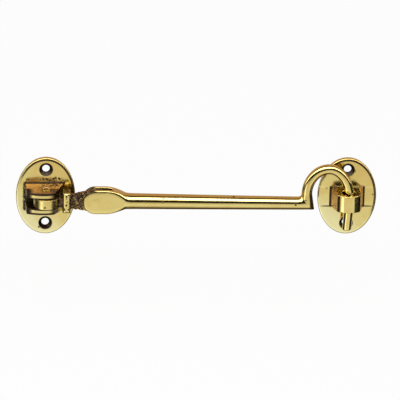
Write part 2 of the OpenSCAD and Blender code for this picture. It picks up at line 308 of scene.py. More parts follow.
class Skin(Sums):
    """What a brass finish is mixed from: its tone, painted shade with dirt, pits, bare casting and extra
    roughness.
    """

    def __init__(self, tree, place, finish, buff_lines):
        super().__init__(tree)
        self.finish, self.place = finish, place
        self.x, self.y, self.z = self.node("ShaderNodeSeparateXYZ", {0: place}).outputs
        self.drift = self.noise(place, DRIFT, 1.0)
        self.cloud = self.noise(place, CLOUD, 3.0)
        self.mottle = self.noise(place, MOTTLE, 4.0, 0.65)
        self.grit = self.noise(place, GRIT, 5.0, 0.7)
        drawn_out = self.node("ShaderNodeMapping", {"Vector": place, "Scale": buff_lines}).outputs[0]
        self.lines = self.noise(drawn_out, 1.0, 3.0)
        self.tone = rgba(finish.brass)
        self.tint(self.fade(self.drift, 0.35, 0.75, 0.0, 0.4), finish.warm_brass)
        self.tint(self.fade(self.cloud, 0.42, 0.72, 0.0, 0.45), finish.warm_brass)
        self.tint(self.fade(self.mottle, 0.55, 0.78, 0.0, 0.5), finish.warm_brass)
        self.tint(self.fade(self.lines, 0.5, 0.25, 0.0, 0.22), finish.pale_brass)
        # Painted shade: ambient occlusion, made ragged by the mottle, darkens corners and crevices
        ragged = self.plus(self.corner(1.8 * MM), self.times(self.minus(self.mottle, 0.5), 0.5))
        self.shade_and_soil = self.fade(ragged, 0.66, 0.28, 0.0, 0.92)
        self.pit = self.pits(420.0, 0.04)
        self.cast = None
        self.rougher = 0.0
        self.wave = 1.0

    def tint(self, factor, colour_in):
        """Mixes a colour into the tone."""
        self.tone = self.blend(factor, self.tone, rgba(colour_in))

    def darken(self, strength, *masks):
        """Adds to the dark mask, which holds painted shade and dirt, where all masks meet."""
        self.shade_and_soil = self.most(self.shade_and_soil, self.times(*masks, strength))

    def pits(self, per_metre, share_kept, reach=0.3):
        """Small uneven pits, in the given share of the cells; the reach is their radius in cells."""
        wobble = self.node("ShaderNodeTexNoise", {"Vector": self.place, "Scale": per_metre * 2.2,
                                                  "Detail": 2.0}).outputs["Color"]
        bend = 0.9 / per_metre
        uneven = self.aim("MULTIPLY_ADD", wobble, (bend, bend, bend), self.place)
        cell = self.node("ShaderNodeTexVoronoi", {"Vector": uneven, "Scale": per_metre})
        chance = self.node("ShaderNodeSeparateColor", {0: cell.outputs["Color"]}).outputs[0]
        kept = self.fade(chance, 1.0 - share_kept, 1.01 - share_kept)
        return self.times(kept, self.fade(cell.outputs["Distance"], reach, reach * 0.6))


def plate_painted_light(skin, cast, front):
    """Painted light on each plate: a painted highlight at its lower left, painted shade at its upper right
    and a painted dark reflection inside the rim.
    """
    on_eye = skin.calc("GREATER_THAN", skin.x, cast.plate_pitch / 2)
    from_middle = skin.minus(skin.x, skin.times(on_eye, cast.plate_pitch))
    ragged = skin.times(skin.minus(skin.cloud, 0.5), 14.0 * MM)
    slant = skin.plus(skin.times(from_middle, 0.6), skin.times(skin.z, 0.8), ragged)
    # Painted highlight at the lower left and painted shade at the upper right
    skin.tint(skin.times(skin.fade(slant, -2.0 * MM, -17.0 * MM), front), skin.finish.pale_brass)
    skin.tint(skin.times(skin.fade(slant, 0.0, 16.0 * MM, 0.0, 0.8), front), skin.finish.warm_brass)
    # Painted dark reflection: a thin dark line just inside the rim
    line_half_wide, line_half_high, line_width = 14.0 * MM, 19.3 * MM, 0.034
    ring = skin.away(skin.calc("DIVIDE", from_middle, line_half_wide),
                     skin.calc("DIVIDE", skin.z, line_half_high))
    skin.darken(0.9, skin.near(ring, 1.0, line_width), skin.fade(slant, -3.0 * MM, 6.0 * MM), front)


def countersink_painted_dark(skin, cast, height):
    """Painted dark reflection in the four countersunk holes."""
    half_pitch, outer, inner = cast.plate_pitch / 2, 3.75 * MM, 3.25 * MM
    across = skin.minus(skin.apart(skin.x, half_pitch), half_pitch)
    along = skin.minus(height, cast.screw_spacing / 2)
    skin.darken(0.97, skin.fade(skin.away(across, along), outer, inner))


def lug_specks(skin, front):
    """Casting pits on the plate over the lugs and beside their square side."""
    over = skin.times(skin.near(skin.x, 2.9 * MM, 6.5 * MM), skin.near(skin.z, 8.2 * MM, 2.6 * MM),
                      skin.fade(skin.y, -7.8 * MM, -7.2 * MM), skin.pits(640.0, 0.75, 0.55))
    beside = skin.times(skin.near(skin.x, -10.8 * MM, 0.9 * MM), skin.near(skin.z, 0.0, 8.5 * MM),
                        skin.fade(skin.grit, 0.48, 0.56))
    skin.pit = skin.most(skin.pit, skin.times(front, skin.most(over, beside)))


def root_painted_shade(skin, height, from_eye, front):
    """Painted shade: dark lines in the corner where the lugs stand on the plate, fainter over and under the
    eye.
    """
    x, line, soft = skin.x, 0.6 * MM, 0.4 * MM
    lug_top, lug_left, lug_right = 7.25 * MM, -10.7 * MM, 9.6 * MM
    eye_top, eye_edge = 5.3 * MM, 8.5 * MM
    lug_end, eye_end = 7.1 * MM, 5.2 * MM
    lug = skin.times(skin.near(height, lug_top, line), skin.fade(x, lug_left - soft, lug_left),
                     skin.fade(x, lug_right + soft, lug_right))
    lug_side = skin.times(skin.near(x, -10.75 * MM, 0.65 * MM), skin.fade(height, lug_end + soft, lug_end),
                          skin.fade(skin.mottle, 0.36, 0.46, 0.35, 1.0))
    eye = skin.times(skin.near(height, eye_top, line), skin.fade(from_eye, eye_edge + soft, eye_edge), 0.75)
    eye_side = skin.times(skin.near(from_eye, eye_edge, line), skin.fade(height, eye_end + soft, eye_end))
    in_corner = skin.times(skin.near(skin.y, -3.2 * MM, 1.1 * MM), front)
    skin.darken(0.96, skin.most(lug, lug_side, eye, eye_side), in_corner)


def lug_painted_shade(skin, height, on_lugs):
    """Painted shade in the slot between the lugs, and painted dark reflections at the ends and edges of their
    noses.
    """
    x, y = skin.x, skin.y
    upper_edge, lower_edge, line = 5.15 * MM, 2.7 * MM, 0.7 * MM
    slot = skin.fade(height, 2.85 * MM, 2.5 * MM)
    skin.darken(0.93, slot, on_lugs, skin.fade(y, -3.0 * MM, -3.2 * MM))
    left_end = skin.fade(x, -5.6 * MM, -8.8 * MM)
    right_end = skin.fade(x, 0.8 * MM, 3.6 * MM, 0.0, 0.8)
    edges = skin.most(skin.near(height, upper_edge, line), skin.near(height, lower_edge, line))
    nose = skin.fade(y, -8.5 * MM, -10.0 * MM)
    skin.darken(0.98, nose, on_lugs, skin.most(left_end, right_end, edges))


def painted_warm_tops(skin, height, from_eye):
    """Where a browner tone is painted on as a warm reflection, and the brass is made duller: the lugs'
    sloping tops and the eye's flanks.
    """
    x, y = skin.x, skin.y
    lug_reach, nose_height, climb = 15.6 * MM, 5.6 * MM, 0.125
    slope = skin.plus(skin.times(skin.plus(y, lug_reach), climb), nose_height)
    top = skin.times(skin.fade(skin.minus(height, slope), -0.35 * MM, -0.1 * MM),
                     skin.fade(y, -3.2 * MM, -3.6 * MM), skin.fade(x, 13.0 * MM, 11.5 * MM))
    flank = skin.times(skin.fade(from_eye, 5.5 * MM, 5.9 * MM), skin.fade(from_eye, 8.9 * MM, 8.5 * MM),
                       skin.fade(y, -3.2 * MM, -3.8 * MM))
    return skin.most(top, flank)


def plate_marks(skin, scene):
    """Marks of the two plates with the lugs and the eye, with their painted light and shade."""
    cast, finish = scene.latch_cast, skin.finish
    height = skin.calc("ABSOLUTE", skin.z)
    from_eye = skin.apart(skin.x, cast.plate_pitch)
    front = skin.fade(skin.y, 0.6 * MM - cast.plate_depth, 0.3 * MM - cast.plate_depth)
    on_lugs = skin.fade(skin.x, 12.0 * MM, 11.0 * MM)
    plate_painted_light(skin, cast, front)
    countersink_painted_dark(skin, cast, height)
    lug_specks(skin, front)
    root_painted_shade(skin, height, from_eye, front)
    lug_painted_shade(skin, height, on_lugs)
    top = painted_warm_tops(skin, height, from_eye)
    # Painted warm reflection: the lugs' tops and the eye's flanks get a browner tone
    dull = skin.blend(skin.fade(skin.mottle, 0.47, 0.74), rgba(finish.painted_lug_top), rgba(finish.cast_skin_and_shade))
    skin.tone = skin.blend(skin.times(top, 0.9), skin.tone, dull)
    # The backs are milled flat and never polished
    back = skin.fade(skin.y, -0.5 * MM, -0.2 * MM, 0.0, 0.42)
    skin.rougher = skin.plus(skin.times(top, 0.25), back)
    skin.wave = 1.5


def knuckle_marks(skin, scene):
    """The knuckle's tongue keeps its cast skin, its web gets the same dark tone as painted shade, and its
    shoulder is pitted.
    """
    start = scene.latch_cast.tongue_at
    wander = skin.plus(skin.x, skin.times(skin.minus(skin.mottle, 0.5), 1.6 * MM))
    tongue = skin.fade(wander, start - 0.4 * MM, start + 0.1 * MM)
    # Painted shade: the web between the barrel and the shoulder gets the dark cast tone
    web = skin.near(wander, 6.9 * MM, 2.0 * MM)
    skin.cast = skin.most(tongue, web)
    shoulder = skin.near(skin.x, 10.2 * MM, 3.0 * MM)
    skin.pit = skin.most(skin.pit, skin.times(shoulder, skin.pits(800.0, 0.7, 0.5)))
    skin.rougher = 0.15


def arm_marks(skin, scene):
    """Painted shade inside the bend, a dark, rough tone on the fork's rounded end and dark heel dents."""
    size = scene.latch_arm
    x, y, z = skin.x, skin.y, skin.z
    # Painted shade along the inside of the bend
    spring = 2.6 * MM
    across = skin.calc("DIVIDE", skin.minus(x, size.riser_at + size.bend_radius), size.bend_radius)
    along = skin.calc("DIVIDE", skin.most(skin.minus(z, spring), 0.0), size.bend_top - spring)
    skin.darken(0.9, skin.fade(skin.away(across, along), 0.90, 0.82),
                skin.fade(x, 130.0 * MM, 131.0 * MM), skin.fade(x, 148.0 * MM, 144.0 * MM))
    # A dark, rough tone on the fork's rounded end, between the cheeks' faces
    depth = skin.apart(y, -size.hook_plane)
    skin.cast = skin.times(skin.fade(x, 25.6 * MM, 23.4 * MM), skin.fade(depth, 4.0 * MM, 3.75 * MM))
    front = skin.fade(y, -11.0 * MM, -12.0 * MM)
    for dent_x, dent_z, dent_r in HEEL_DENTS:
        from_dent = skin.away(skin.minus(x, dent_x), skin.minus(z, dent_z))
        skin.pit = skin.most(skin.pit, skin.times(front, skin.fade(from_dent, dent_r, dent_r * 0.55)))


def brass_material(name, scene, buff_lines, marks):
    """Polished brass with buffing lines, pits, dark brown dirt and painted shade; the marks say where it is
    left dark or rough.
    """
    tree, shader, place = bare_material(name)
    finish = scene.latch_finish
    skin = Skin(tree, place, finish, buff_lines)
    marks(skin, scene)
    skin.darken(0.97, skin.pit)
    # The dark brown is painted over the dark mask: painted shade in corners, crevices and slots, and dirt in
    # the pits
    skin.tint(skin.shade_and_soil, finish.tarnish_and_shade)
    polish = skin.plus(skin.times(skin.fade(skin.lines, 0.35, 0.75), 0.10), finish.polish - 0.03)
    rough = skin.plus(polish, skin.rougher, skin.times(skin.shade_and_soil, 0.3))
    swell = skin.noise(place, CLOUD, 0.0)
    relief = skin.plus(skin.times(swell, 2.2 * skin.wave), skin.times(skin.lines, 0.04),
                       skin.times(skin.drift, 9.0 * skin.wave), skin.times(skin.pit, -1.6))
    # Cast skin on the knuckle's tongue, painted shade in the same dark tone on its web, and a dark, rough
    # tone on the fork's rounded end
    if skin.cast is not None:
        lump = skin.noise(place, LUMP, 3.0, 0.6)
        dark = skin.blend(skin.fade(lump, 0.40, 0.60), rgba(finish.tarnish_and_shade), rgba(finish.cast_skin_and_shade))
        worn = skin.times(skin.fade(skin.mottle, 0.53, 0.62, 0.0, 0.9),
                          skin.fade(skin.x, 9.0 * MM, 11.0 * MM))
        dark = skin.blend(worn, dark, rgba(finish.warm_brass))
        skin.tone = skin.blend(skin.cast, skin.tone, dark)
        rough = skin.node("ShaderNodeMix", {0: skin.cast, 2: rough, 3: finish.dull}).outputs[0]
        relief = skin.plus(relief, skin.times(skin.grit, skin.cast, 3.0))
    dress(tree, shader, skin.tone, rough, skin.bump(1.0, 0.05 * MM, relief))


def pin_material(name, scene):
    """Ground brass rod with faint turning marks and painted shade in its corners."""
    tree, shader, place = bare_material(name)
    finish, sums = scene.latch_finish, Sums(tree)
    mottle = sums.noise(place, TURNING, 4.0)
    tone = sums.blend(sums.fade(mottle, 0.4, 0.7), rgba(finish.pin_brass), rgba(finish.warm_brass))
    # Painted shade: ambient occlusion darkens the pin where it meets other parts
    shade_and_soil = sums.fade(sums.corner(1.0 * MM), 0.75, 0.35, 0.0, 0.7)
    tone = sums.blend(shade_and_soil, tone, rgba(finish.tarnish_and_shade))
    rough = sums.plus(sums.times(mottle, 0.2), 0.16)
    dress(tree, shader, tone, rough, sums.bump(0.6, 0.04 * MM, mottle))


# Each brass finish: its buffing lines, how many in a metre along the three axes, and its marks
BRASS = {
    "polished_brass_plate": ((1400.0, 1400.0, 420.0), plate_marks),
    "cast_brass_skin": ((900.0, 2500.0, 2500.0), knuckle_marks),
    "buffed_brass_bar": ((220.0, 3200.0, 3200.0), arm_marks),
}


def finish_material(scene, kind):
    """The finish of that name, made once."""
    if kind not in bpy.data.materials:
        if kind in BRASS:
            brass_material(kind, scene, *BRASS[kind])
        else:
            pin_material(kind, scene)
    return bpy.data.materials[kind]


def link_object(name, data):
    """A new object at the origin."""
    made = bpy.data.objects.new(name, data)
    bpy.context.scene.collection.objects.link(made)
    return made


def baked(thing, name):
    """The object with its modifiers worked in, as a plain mesh on a new object; the old one goes."""
    bpy.context.view_layer.update()
    graph = bpy.context.evaluated_depsgraph_get()
    mesh = bpy.data.meshes.new_from_object(thing.evaluated_get(graph), depsgraph=graph)
    mesh.name = name
    old = thing.data
    bpy.data.objects.remove(thing)
    bpy.data.meshes.remove(old)
    return link_object(name, mesh)


def solid_copy(node_name):
    """A CAD node's mesh with its loose triangles joined."""
    work = bmesh.new()
    work.from_mesh(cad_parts[node_name].data)
    bmesh.ops.remove_doubles(work, verts=work.verts, dist=1e-6)
    mesh = bpy.data.meshes.new(node_name + "_solid")
    work.to_mesh(mesh)
    work.free()
    return mesh


def buffed(thing, name, grain, passes):
    """A solid recut at an even grain, with every edge softened as a buffing wheel leaves it."""
    recut = thing.modifiers.new("recut", "REMESH")
    recut.mode = "VOXEL"
    recut.voxel_size = grain
    recut.adaptivity = 0.0
    soften = thing.modifiers.new("soften", "SMOOTH")
    soften.factor = 0.5
    soften.iterations = passes
    made = baked(thing, name)
    made.data.shade_smooth()
    if not made.data.polygons:
        raise RuntimeError(name + " came out empty")
    return made


def placed(thing, material, body, slot, *nodes):
    """Gives a piece its finish, its body and the CAD nodes that it stands for."""
    thing.data.materials.clear()
    thing.data.materials.append(material)
    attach(thing, body)
    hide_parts(*nodes)


def stack(name, loops):
    """Loops of equally many points joined into one solid with flat ends, its faces turned outwards."""
    count = len(loops[0])
    points = [p for loop in loops for p in loop]
    faces = [tuple(range(count)), tuple(range(len(points) - count, len(points)))]
    for row in range(len(loops) - 1):
        for i in range(count):
            j = (i + 1) % count
            low, high = row * count, (row + 1) * count
            faces.append((low + i, low + j, high + j, high + i))
    work = bmesh.new()
    made = [work.verts.new(p) for p in points]
    for corners in faces:
        work.faces.new([made[i] for i in corners])
    bmesh.ops.recalc_face_normals(work, faces=work.faces)
    mesh = bpy.data.meshes.new(name)
    work.to_mesh(mesh)
    work.free()
    return mesh


def circle(radius, sides):
    """Points round a circle."""
    return [(radius * math.cos(2 * math.pi * k / sides), radius * math.sin(2 * math.pi * k / sides))
            for k in range(sides)]


def pin_mesh(name, radius, half, edge, sides, turn):
    """A pin whose ends are rounded over."""
    steps = 5
    profile = [((radius - edge) * 0.5, half)]
    for i in range(steps + 1):
        a = math.pi / 2 * i / steps
        profile.append((radius - edge * (1 - math.sin(a)), half - edge * (1 - math.cos(a))))
    rows = profile + [(r, -h) for r, h in reversed(profile)]
    return stack(name, [[turn @ Vector((x, y, h)) for x, y in circle(r, sides)] for r, h in rows])


def crown_rim(mesh, middle, cast):
    """Flattens the rounding along a plate's front edge, so that it falls slowly and then turns sharply."""
    on_rim, slack = 0.99, 1e-5
    low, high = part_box("hook_backplate")
    half_wide, half_high = (high[0] - low[0]) / 2, (high[2] - low[2]) / 2
    for vert in mesh.vertices:
        x, y, z = vert.co
        inner = math.hypot((x - middle) / (half_wide - cast.rim_run), z / (half_high - cast.rim_run))
        if inner > on_rim and -cast.plate_depth < y < cast.rim_run - cast.plate_depth + slack:
            vert.co.y = (y + cast.plate_depth) * cast.rim_drop / cast.rim_run - cast.plate_depth


def cast_plate(scene, name, node, middle, body):
    """Casts a plate from its CAD node, crowned at the rim and buffed."""
    cast = scene.latch_cast
    rough = solid_copy(node)
    crown_rim(rough, middle, cast)
    plate = buffed(link_object(node + "_rough", rough), name, cast.plate_grain, cast.plate_buff)
    placed(plate, finish_material(scene, "polished_brass_plate"), body, "polished_brass", node)


class LATCH_OT_hook_plate(bpy.types.Operator):
    """Casts and buffs the oval plate with its two lugs"""

    bl_idname = "latch.hook_plate"
    bl_label = "Hook plate"

    def execute(self, context):
        cast_plate(context.scene, "hook_plate_casting", "hook_backplate", 0.0, "hook_plate")
        return {"FINISHED"}


class LATCH_OT_eye_plate(bpy.types.Operator):
    """Casts and buffs the oval plate with the closed eye"""

    bl_idname = "latch.eye_plate"
    bl_label = "Eye plate"

    def execute(self, context):
        pitch = context.scene.latch_cast.plate_pitch
        cast_plate(context.scene, "eye_plate_casting", "eye_backplate", pitch, "eye")
        return {"FINISHED"}


def roughen(mesh, cast):
    """Gives the knuckle's tongue the lumpy skin of a sand casting."""
    fade_run, finer, sunk = 0.8 * MM, 2.3, 0.75
    moved = []
    for vert, facing in zip(mesh.vertices, mesh.vertex_normals):
        amount = min(1.0, max(0.0, (vert.co.x - cast.tongue_at) / fade_run))
        spot = vert.co / cast.lump_size
        lump = turbulence.noise(spot) + 0.5 * turbulence.noise(spot * finer) if amount else 0.0
        moved.extend(vert.co + facing.vector * (amount * cast.lump_depth * (lump - sunk)))
    mesh.vertices.foreach_set("co", moved)
    mesh.update()


class LATCH_OT_knuckle(bpy.types.Operator):
    """Casts the knuckle, polished at the barrel and left as cast at the tongue"""

    bl_idname = "latch.knuckle"
    bl_label = "Knuckle"

    def execute(self, context):
        cast = context.scene.latch_cast
        knuckle = buffed(link_object("knuckle_rough", solid_copy("knuckle")),
                         "knuckle_casting", cast.knuckle_grain, cast.knuckle_buff)
        roughen(knuckle.data, cast)
        placed(knuckle, finish_material(context.scene, "cast_brass_skin"), "knuckle", "cast_brass", "knuckle")
        return {"FINISHED"}


class LATCH_OT_pins(bpy.types.Operator):
    """Turns the upright pin and the cross pin"""

    bl_idname = "latch.pins"
    bl_label = "Pins"

    def execute(self, context):
        cast = context.scene.latch_cast
        to_y = Matrix.Rotation(math.pi / 2, 4, "X")
        for name, node, body, axis, turn, edge, kind in (
                ("upright_rivet", "upright_pin", "hook_plate", 2, Matrix.Identity(4), cast.pin_edge,
                 "ground_brass"),
                ("cross_rivet", "cross_pin", "arm", 1, to_y, cast.flush_edge, "buffed_brass_bar")):
            low, high = (Vector(corner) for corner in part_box(node))
            size = high - low
            place = Matrix.Translation((low + high) / 2) @ turn
            pin = link_object(name, pin_mesh(name, size[0] / 2, size[axis] / 2, edge, cast.pin_sides, place))
            pin.data.shade_smooth()
            pin.data.set_sharp_from_angle(angle=SHARP_TURN)
            placed(pin, finish_material(context.scene, kind), body, "pin_brass", node)
        return {"FINISHED"}


def ease(t):
    """From nothing to one, slow at both ends."""
    return t * t * (3 - 2 * t)


class ArmPath:
    """Stations along the arm: middle, flat part and rounding in the hook's plane and in depth, and lean."""

    def __init__(self, size):
        self.size = size
        self.stations = []
        self.fork()
        self.shank()
        self.heel()
        self.bend()
        self.leg()

    def section(self, x, z, high, deep, corner, crown):
        """A flat section with rounded edges."""
        middle = (x, -self.size.hook_plane, z)
        self.stations.append((middle, high - crown, crown, deep - corner, corner, 0.0))

    def ring(self, x, z, radius, lean, stretch=1.0):
        """A round section, stretched in the hook's plane."""
        middle = (x, -self.size.hook_plane, z)
        self.stations.append((middle, 0.0, radius * stretch, 0.0, radius, lean))

    def taper_end(self):
        return self.size.pin_pitch + self.size.fork_run + self.size.fork_taper

    def fork(self):
        """Round end of the fork, then its flat part and a smooth run into the round shank."""
        size = self.size
        big, half, shank = size.fork_height / 2, size.fork_thickness / 2, size.shank / 2
        edge, crown, rise = size.fork_edge, size.fork_crown, size.fork_rise
        end = size.pin_pitch - big
        self.section(end, rise, 0.0, half - edge, 0.0, 0.0)
        for i in range(1, END_STEPS + 1):
            x = end + big * (1 - math.cos(math.pi / 2 * i / END_STEPS))
            high = math.sqrt(max(0.0, big ** 2 - (x - size.pin_pitch) ** 2))
            inside = max(0.0, 1 - (x - end) / crown)
            deep = half - edge * (1 - math.sqrt(1 - inside ** 2))
            self.section(x, rise, high, deep, edge, min(high, crown))
        even_share = 0.87
        flat_end = size.pin_pitch + size.fork_run * even_share
        run = self.taper_end() - flat_end
        for i in range(TAPER_STEPS + 1):
            along = i / TAPER_STEPS
            x = flat_end + run * along
            under = min(1.0, (x - flat_end) / (run - size.fork_under))
            upper = rise + big + (size.shank_rise + shank - rise - big) * ease(along)
            lower = rise - big + (size.shank_rise - shank - rise + big) * ease(under)
            high = (upper - lower) / 2
            rounding = under ** 4
            self.section(x, (upper + lower) / 2, high, half, min(half, edge + (shank - edge) * rounding),
                         min(high, crown + (shank - crown) * rounding))

    def shank(self):
        """Tapered shank."""
        size, start = self.size, self.taper_end()
        for i in range(1, SHANK_STEPS):
            t = i / SHANK_STEPS
            self.ring(start + (size.heel_at - start) * t,
                      size.shank_rise * (1 - t) ** 2 - size.heel_drop * t,
                      (size.shank + (size.heel - size.shank) * t) / 2, 0.0)

    def heel(self):
        """Sharp heel with a fillet inside."""
        size = self.size
        corner = size.heel + size.heel_fillet
        top = size.bend_start + size.heel_fillet
        slant = (corner - top) / corner
        for i in range(HEEL_STEPS + 1):
            t = i / HEEL_STEPS
            a = math.pi / 2 * t
            out = corner / math.cos(a) if t <= 0.5 else top / (math.sin(a) - slant * math.cos(a))
            reach = (out + size.heel_fillet) / 2
            radius = (size.heel + (size.bend_start - size.heel) * t) / 2
            self.ring(size.heel_at + reach * math.sin(a), size.riser_rise - reach * math.cos(a), radius, -a,
                      (out - size.heel_fillet) / 2 / radius)

    def bend(self):
        """Round bend from the riser to the leg."""
        size = self.size
        for i in range(1, BEND_STEPS + 1):
            t = i / BEND_STEPS
            a = math.pi * t
            base = size.riser_rise if t < 0.5 else size.leg_rise
            height = size.bend_top - base
            self.ring(size.riser_at + size.bend_radius * (1 - math.cos(a)), base + height * math.sin(a),
                      (size.bend_start + (size.bend_end - size.bend_start) * t) / 2,
                      math.atan2(-height * math.cos(a), size.bend_radius * math.sin(a)))

    def leg(self):
        """Leg that leans in towards the riser, and its tapered tip."""
        size = self.size
        at = size.riser_at + 2 * size.bend_radius

        def leg_ring(z, radius):
            down = (size.leg_rise - z) / (size.leg_rise + size.tip_drop)
            self.ring(at - size.tip_lean * down, z, radius, math.pi / 2)

        for i in range(1, LEG_STEPS + 1):
            leg_ring(size.leg_rise - (size.taper_drop + size.leg_rise) * i / LEG_STEPS, size.bend_end / 2)
        for i in range(1, LEG_STEPS + 1):
            t = i / LEG_STEPS
            leg_ring(-size.taper_drop + (size.tip_bevel - size.tip_drop + size.taper_drop) * t,
                     (size.bend_end + (size.tip - size.bend_end) * t) / 2)
        leg_ring(-size.tip_drop, size.tip / 2 - size.tip_bevel)
        leg_ring(-size.tip_drop, 0.0)


def bar_tree(material, bar_sides):
    """Node tree that draws a rounded section at each point of a path and joins them into a bar."""
    tree = bpy.data.node_groups.new("Bar along a path", "GeometryNodeTree")
    tree.interface.new_socket("Path", in_out="INPUT", socket_type="NodeSocketGeometry")
    sides_in = tree.interface.new_socket("Sides", in_out="INPUT", socket_type="NodeSocketInt")
    finish_in = tree.interface.new_socket("Finish", in_out="INPUT", socket_type="NodeSocketMaterial")
    sides_in.default_value = bar_sides
    finish_in.default_value = material
    tree.interface.new_socket("Bar", in_out="OUTPUT", socket_type="NodeSocketGeometry")
    sums = Sums(tree)
    given = sums.node("NodeGroupInput")
    path, sides, finish = given.outputs[:3]
    count = sums.node("GeometryNodeAttributeDomainSize", {0: path}, component="MESH").outputs[0]
    across = sums.plus(sides, 1.0)
    grid = sums.node("GeometryNodeMeshGrid", {2: count, 3: across}).outputs[0]
    index = sums.node("GeometryNodeInputIndex").outputs[0]
    row = sums.calc("FLOOR", sums.calc("DIVIDE", sums.plus(index, 0.25), across))
    side = sums.minus(index, sums.times(row, across))
    turn = sums.times(sums.calc("DIVIDE", side, sides), 2 * math.pi)

    def at_station(kind, value):
        return sums.node("GeometryNodeSampleIndex", {0: path, 1: value, 2: row},
                         data_type=kind, domain="POINT").outputs[0]

    def stored(name):
        value = sums.node("GeometryNodeInputNamedAttribute", {0: name}, data_type="FLOAT").outputs[0]
        return at_station("FLOAT", value)

    def reach(wave, flat, corner):
        """A flat part and a rounded one, to the side that the wave points to."""
        step = 1e-4
        swing = sums.calc(wave, turn)
        to_side = sums.calc("SIGN", sums.calc("SNAP", sums.plus(swing, step / 2), step))
        return sums.plus(sums.times(stored(flat), to_side), sums.times(stored(corner), swing))

    middle = at_station("FLOAT_VECTOR", sums.node("GeometryNodeInputPosition").outputs[0])
    lean = stored("lean")
    wide = reach("COSINE", "flat_wide", "round_wide")
    deep = reach("SINE", "flat_deep", "round_deep")
    offset = sums.node("ShaderNodeCombineXYZ", {0: sums.times(wide, sums.calc("SINE", lean)), 1: deep,
                                                2: sums.times(wide, sums.calc("COSINE", lean))}).outputs[0]
    moved = sums.node("GeometryNodeSetPosition", {0: grid, 2: sums.aim("ADD", middle, offset)}).outputs[0]
    closed = sums.node("GeometryNodeMergeByDistance", {0: moved, 2: 2e-6}).outputs[0]
    plain = sums.node("GeometryNodeRealizeInstances", {0: closed}).outputs[0]
    dressed = sums.node("GeometryNodeSetMaterial", {0: plain, 2: finish}).outputs[0]
    sums.node("NodeGroupOutput", {0: dressed})
    return tree, sides_in.identifier, finish_in.identifier


def arm_object(size, sides, material):
    """The arm in one sweep, from the fork's round end to the tip."""
    stations = ArmPath(size).stations
    mesh = bpy.data.meshes.new("arm_path")
    mesh.from_pydata([s[0] for s in stations], [(i, i + 1) for i in range(len(stations) - 1)], [])
    for column, name in enumerate(("flat_wide", "round_wide", "flat_deep", "round_deep", "lean"), 1):
        mesh.attributes.new(name, "FLOAT", "POINT").data.foreach_set("value", [s[column] for s in stations])
    path = link_object("arm_path", mesh)
    nodes = path.modifiers.new("bar", "NODES")
    nodes.node_group, sides_id, finish_id = bar_tree(material, sides)
    nodes[sides_id] = sides
    nodes[finish_id] = material
    arm = baked(path, "arm_rough")
    work = bmesh.new()
    work.from_mesh(arm.data)
    bmesh.ops.dissolve_degenerate(work, edges=work.edges, dist=1e-7)
    bmesh.ops.recalc_face_normals(work, faces=work.faces)
    loose = [e for e in work.edges if len(e.link_faces) != 2]
    work.to_mesh(arm.data)
    work.free()
    if loose:
        raise RuntimeError("the arm isn't closed: %d open edges" % len(loose))
    return arm


def box_cutter(name, low, high):
    """A plain cutter."""
    outline = ((low[0], low[1]), (high[0], low[1]), (high[0], high[1]), (low[0], high[1]))
    return link_object(name, stack(name, [[(x, y, z) for x, y in outline] for z in (low[2], high[2])]))


def rod_cutter(name, x, z, radius, low, high):
    """A round cutter along Y."""
    sides = 64
    loops = [[(x + right, y, z + up) for right, up in circle(radius, sides)] for y in (low, high)]
    return link_object(name, stack(name, loops))


def cut_out(thing, tool):
    """Cuts one object's shape out of another and drops the tool."""
    cut = thing.modifiers.new("cut", "BOOLEAN")
    cut.object = tool
    cut.operation = "DIFFERENCE"
    cut.solver = "MANIFOLD"
    made = baked(thing, thing.name)
    shape = tool.data
    bpy.data.objects.remove(tool)
    bpy.data.meshes.remove(shape)
    return made


def sink_dents(mesh, hook_plane):
    """Presses the casting dents into the front of the heel."""
    depth_share = 0.5
    moved = []
    for vert in mesh.vertices:
        x, y, z = vert.co
        for dent_x, dent_z, dent_r in HEEL_DENTS:
            away = math.hypot(x - dent_x, z - dent_z) / dent_r
            if away < 1.0 and y < -hook_plane:
                y += depth_share * dent_r * (1 - away * away) ** 2
        moved.extend((x, y, z))
    mesh.vertices.foreach_set("co", moved)
    mesh.update()


class LATCH_OT_arm(bpy.types.Operator):
    """Makes the forked arm with its shank, sharp heel, bend and tip"""

    bl_idname = "latch.arm"
    bl_label = "Hook arm"

    def execute(self, context):
        size, cast = context.scene.latch_arm, context.scene.latch_cast
        material = finish_material(context.scene, "buffed_brass_bar")
        arm = arm_object(size, cast.bar_sides, material)
        plane, tall, slot_half = -size.hook_plane, size.fork_height, size.slot_width / 2
        arm = cut_out(arm, box_cutter("slot_cutter", (size.pin_pitch - tall, plane - slot_half, -tall),
                                      (size.pin_pitch + size.slot_run, plane + slot_half, tall)))
        arm = buffed(arm, "hook_arm_casting", cast.arm_grain, cast.arm_buff)
        sink_dents(arm.data, size.hook_plane)
        pin_low, pin_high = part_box("cross_pin")
        arm = cut_out(arm, rod_cutter("pin_cutter", size.pin_pitch, size.fork_rise,
                                      (pin_high[0] - pin_low[0]) / 2,
                                      plane - size.fork_thickness, plane + size.fork_thickness))
        arm.name = "hook_arm_casting"
        arm.data.shade_smooth()
        arm.data.set_sharp_from_angle(angle=SHARP_TURN)
        placed(arm, material, "arm", "polished_brass", "hook_arm")
        return {"FINISHED"}


def floor_material(tint):
    """Pale floor that glows white to the eye and keeps a soft shadow."""
    glow_share = 0.9
    made = bpy.data.materials.new("pale_floor")
    sums = Sums(emptied(made))
    matt = sums.node("ShaderNodeBsdfDiffuse", {"Color": rgba(tint)}).outputs[0]
    glow = sums.node("ShaderNodeEmission", {"Color": (1, 1, 1, 1), "Strength": 1.0}).outputs[0]
    seen = sums.times(sums.node("ShaderNodeLightPath").outputs["Is Camera Ray"], glow_share)
    mixed = sums.node("ShaderNodeMixShader", {0: seen, 1: matt, 2: glow}).outputs[0]
    sums.node("ShaderNodeOutputMaterial", {0: mixed})
    return made


